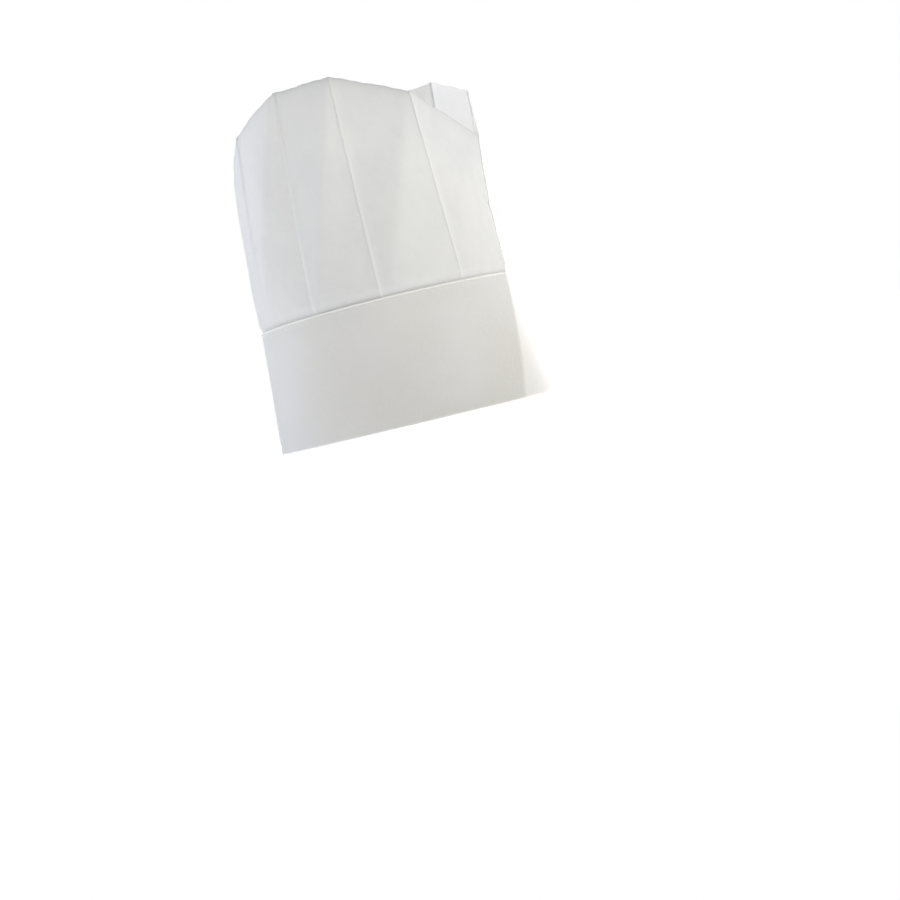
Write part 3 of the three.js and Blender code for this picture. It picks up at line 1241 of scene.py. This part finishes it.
        # painted shade: a dark line along the rim and grey below it, as strong as each panel's
        # shade
        reaches = (self.rim_line, self.rim_shade)
        cut = shade / 2 * sum(np.exp(-below_rim / reach) for reach in reaches)
        # painted shade: darker towards the rim, as strong as each panel's shade
        fade = shade * smooth((self.top_shade_reach - below_rim) / (self.top_shade_reach - self.top_shade_full))
        return np.broadcast_to(painted_highlight, up.shape), np.broadcast_to(layers, up.shape), cut, fade

    def dress(self) -> bpy.types.Object:
        """Builds the crown, gives it its paper and sets it in the frame.

        Returns:
            The finished piece.
        """
        piece, area, size = self.build()
        piece.data.materials.append(self.finish.material())
        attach(piece, "root")
        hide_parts("pleated_crown")
        return piece


@dataclass(frozen=True)
class Softbox:
    """A large soft light. Its place is given as seen from the camera, and sizes are in metres.

    Args:
        name: The light's name.
        to_right: Turn from the camera's side to the right, in degrees; 180 is behind the hat.
        elevation: How high it stands above the table, in degrees.
        distance: How far it is from the hat.
        size: Its side.
        power: Its power, in watts.
        colour: Its tint.
    """

    name: str
    to_right: float
    elevation: float
    distance: float
    size: float
    power: float
    colour: Colour


@dataclass
class Studio:
    """A plain pale table, soft lights round the hat, and the camera.

    Args:
        azimuth: Turn of the camera from the hat's front to the wearer's right, in degrees.
        distance: The camera's distance along the table, in metres.
        height: The camera's height above the table, in metres.
        pan: Turn of its view from the hat's middle to the left, in degrees.
        tilt: Its view's rise, in degrees.
        roll: How far the hat leans to the left in its view, in degrees.
        focal: The lens, in mm, on a sensor 36 mm wide.
        table_tone: How pale the table is.
        glow_near: How much light the table gives off by itself under the hat.
        glow_far: The same far away, so that it runs into the wall without an edge.
        glow_reach: How far from the hat's middle it starts and ends to change, in metres.
        table_radius: How far the table goes, in metres.
        table_drop: How far it lies below the hat's lower edge, in metres.
        aim: The height that the lights are turned to, in metres.
        boxes: The lights.
    """

    azimuth: float = 65.106
    distance: float = 1.2294
    height: float = 0.012
    pan: float = -0.961
    tilt: float = -1.750
    roll: float = 13.565
    focal: float = 1647.07 / 900 * 36
    table_tone: float = 0.55
    glow_near: float = 0.75
    glow_far: float = 1.05
    glow_reach: tuple[float, float] = (0.1, 0.5)
    table_radius: float = 6.0
    table_drop: float = 0.0002
    aim: float = 0.13
    boxes: tuple[Softbox, ...] = (
        Softbox("left", -115, 20, 2.1, 1.5, 12.0, (0.835, 0.872, 1)),
        Softbox("low_left", -100, 6, 2.1, 1.5, 14.8, (0.673, 0.757, 1)),
        Softbox("fore", -30, 35, 2.1, 1.5, 11.9, (0.967, 1, 0.977)),
        Softbox("right", 65, 20, 2.1, 1.5, 21.7, (1, 0.988, 0.905)),
        Softbox("back_right", 120, 20, 2.1, 1.5, 21.0, (0.92, 0.92, 1)),
        Softbox("low_back", 150, 6, 2.1, 1.5, 37.2, (1, 0.977, 0.966)),
    )

    def _side(self, to_right: float) -> tuple[float, float]:
        """Gives the direction from the hat at a turn from the camera's side to the right."""
        turn = math.radians(-self.azimuth + to_right)
        return math.sin(turn), -math.cos(turn)

    def light(self) -> None:
        """Places the soft lights, and a white wall that the camera alone sees."""
        for box in self.boxes:
            lamp = bpy.data.lights.new(box.name, "AREA")
            lamp.shape = "DISK"
            lamp.size = box.size
            lamp.energy = box.power
            lamp.color = box.colour
            holder = bpy.data.objects.new(box.name, lamp)
            x, y = self._side(box.to_right)
            flat = math.cos(math.radians(box.elevation))
            away = np.array([x * flat, y * flat, math.sin(math.radians(box.elevation))])
            place = away * box.distance + [0, 0, self.aim]
            holder.matrix_world = self._facing(place, -away, 0.0)
            bpy.context.collection.objects.link(holder)
        world = bpy.data.worlds.new("room")
        tree = NodeTree(world)
        seen = tree.add("ShaderNodeLightPath", None, None, "Is Camera Ray")
        dark = tree.add("ShaderNodeBackground", None, {"Strength": 0.0})
        wall = tree.add("ShaderNodeBackground", None, {"Color": rgba((1.0,) * 3), "Strength": 1.0})
        shaders = {"Fac": seen, "Shader": dark, "Shader_001": wall}
        both = tree.add("ShaderNodeMixShader", None, shaders)
        tree.add("ShaderNodeOutputWorld", None, {"Surface": both})
        bpy.context.scene.world = world

    @staticmethod
    def _facing(place: Array, forward: Array, roll: float) -> Matrix:
        """Gives the place and turn of something that looks along a direction.

        Args:
            place: Where it is, in metres.
            forward: Where it looks.
            roll: How far the upright leans to the left in its view, in radians.

        Returns:
            Its matrix, with -Z forward and +Y up in its view.
        """
        forward = forward / np.linalg.norm(forward)
        right = np.cross(forward, [0, 0, 1.0])
        right = right / np.linalg.norm(right)
        down = np.cross(forward, right)
        across = math.cos(roll) * right + math.sin(roll) * down
        under = -math.sin(roll) * right + math.cos(roll) * down
        turned = np.eye(4)
        turned[:3] = np.column_stack([across, -under, -forward, place])
        return Matrix(turned.tolist())

    def camera(self) -> None:
        """Sets up the camera at the photograph's angle."""
        lens = bpy.data.cameras.new("camera")
        lens.sensor_width = 36
        lens.lens = self.focal
        lens.clip_start = 0.05
        holder = bpy.data.objects.new("camera", lens)
        x, y = self._side(0.0)
        turn = math.atan2(-y, -x) + math.radians(self.pan)
        rise = math.radians(self.tilt)
        level = math.cos(rise)
        forward = np.array([math.cos(turn) * level, math.sin(turn) * level, math.sin(rise)])
        place = np.array([x * self.distance, y * self.distance, self.height])
        holder.matrix_world = self._facing(place, forward, math.radians(self.roll))
        bpy.context.collection.objects.link(holder)
        bpy.context.scene.camera = holder

    def floor(self) -> None:
        """Lays the table as one wide disc of pale matt board."""
        turns = np.linspace(0, 2 * math.pi, 96, endpoint=False)
        wide = self.table_radius
        ring = [(wide * math.cos(turn), wide * math.sin(turn), -self.table_drop) for turn in turns]
        mesh = bpy.data.meshes.new("table")
        mesh.from_pydata(ring, [], [list(range(len(ring)))])
        table = bpy.data.objects.new("table", mesh)
        bpy.context.collection.objects.link(table)
        board = bpy.data.materials.new("pale_board")
        tree = NodeTree(board)
        where = tree.add("ShaderNodeTexCoord", None, None, "Object")
        away = tree.add("ShaderNodeVectorMath", {"operation": "LENGTH"}, {"Vector": where}, "Value")
        grain = tree.noise(where, scale=260.0, detail=3.0)
        relief = {"Strength": 0.2, "Distance": 0.0002, "Height": grain}
        near, far = (rgba((glow,) * 3) for glow in (self.glow_near, self.glow_far))
        face = tree.add("ShaderNodeBsdfPrincipled", None, {
            "Base Color": rgba((self.table_tone,) * 3),
            "Roughness": 0.8,
            "Normal": tree.add("ShaderNodeBump", None, relief),
            "Specular IOR Level": 0.1,
            "Emission Color": tree.mixed(away.between(*self.glow_reach), near, far),
            "Emission Strength": 1.0,
        })
        tree.add("ShaderNodeOutputMaterial", None, {"Surface": face})
        mesh.materials.append(board)

    def set_up(self) -> None:
        """Sets up the table, the lights and the camera, and shows tones as they are."""
        self.floor()
        self.light()
        self.camera()
        bpy.context.scene.view_settings.view_transform = "Standard"


def main() -> None:
    """Builds the hat and its studio, and reports each piece."""
    logging.basicConfig(level=logging.INFO, format="%(message)s")
    Studio().set_up()
    for maker in (Headband(), Crown()):
        piece = maker.dress()
        log.info("%s: %d faces", piece.name, len(piece.data.polygons))


if __name__ == "__main__":
    main()
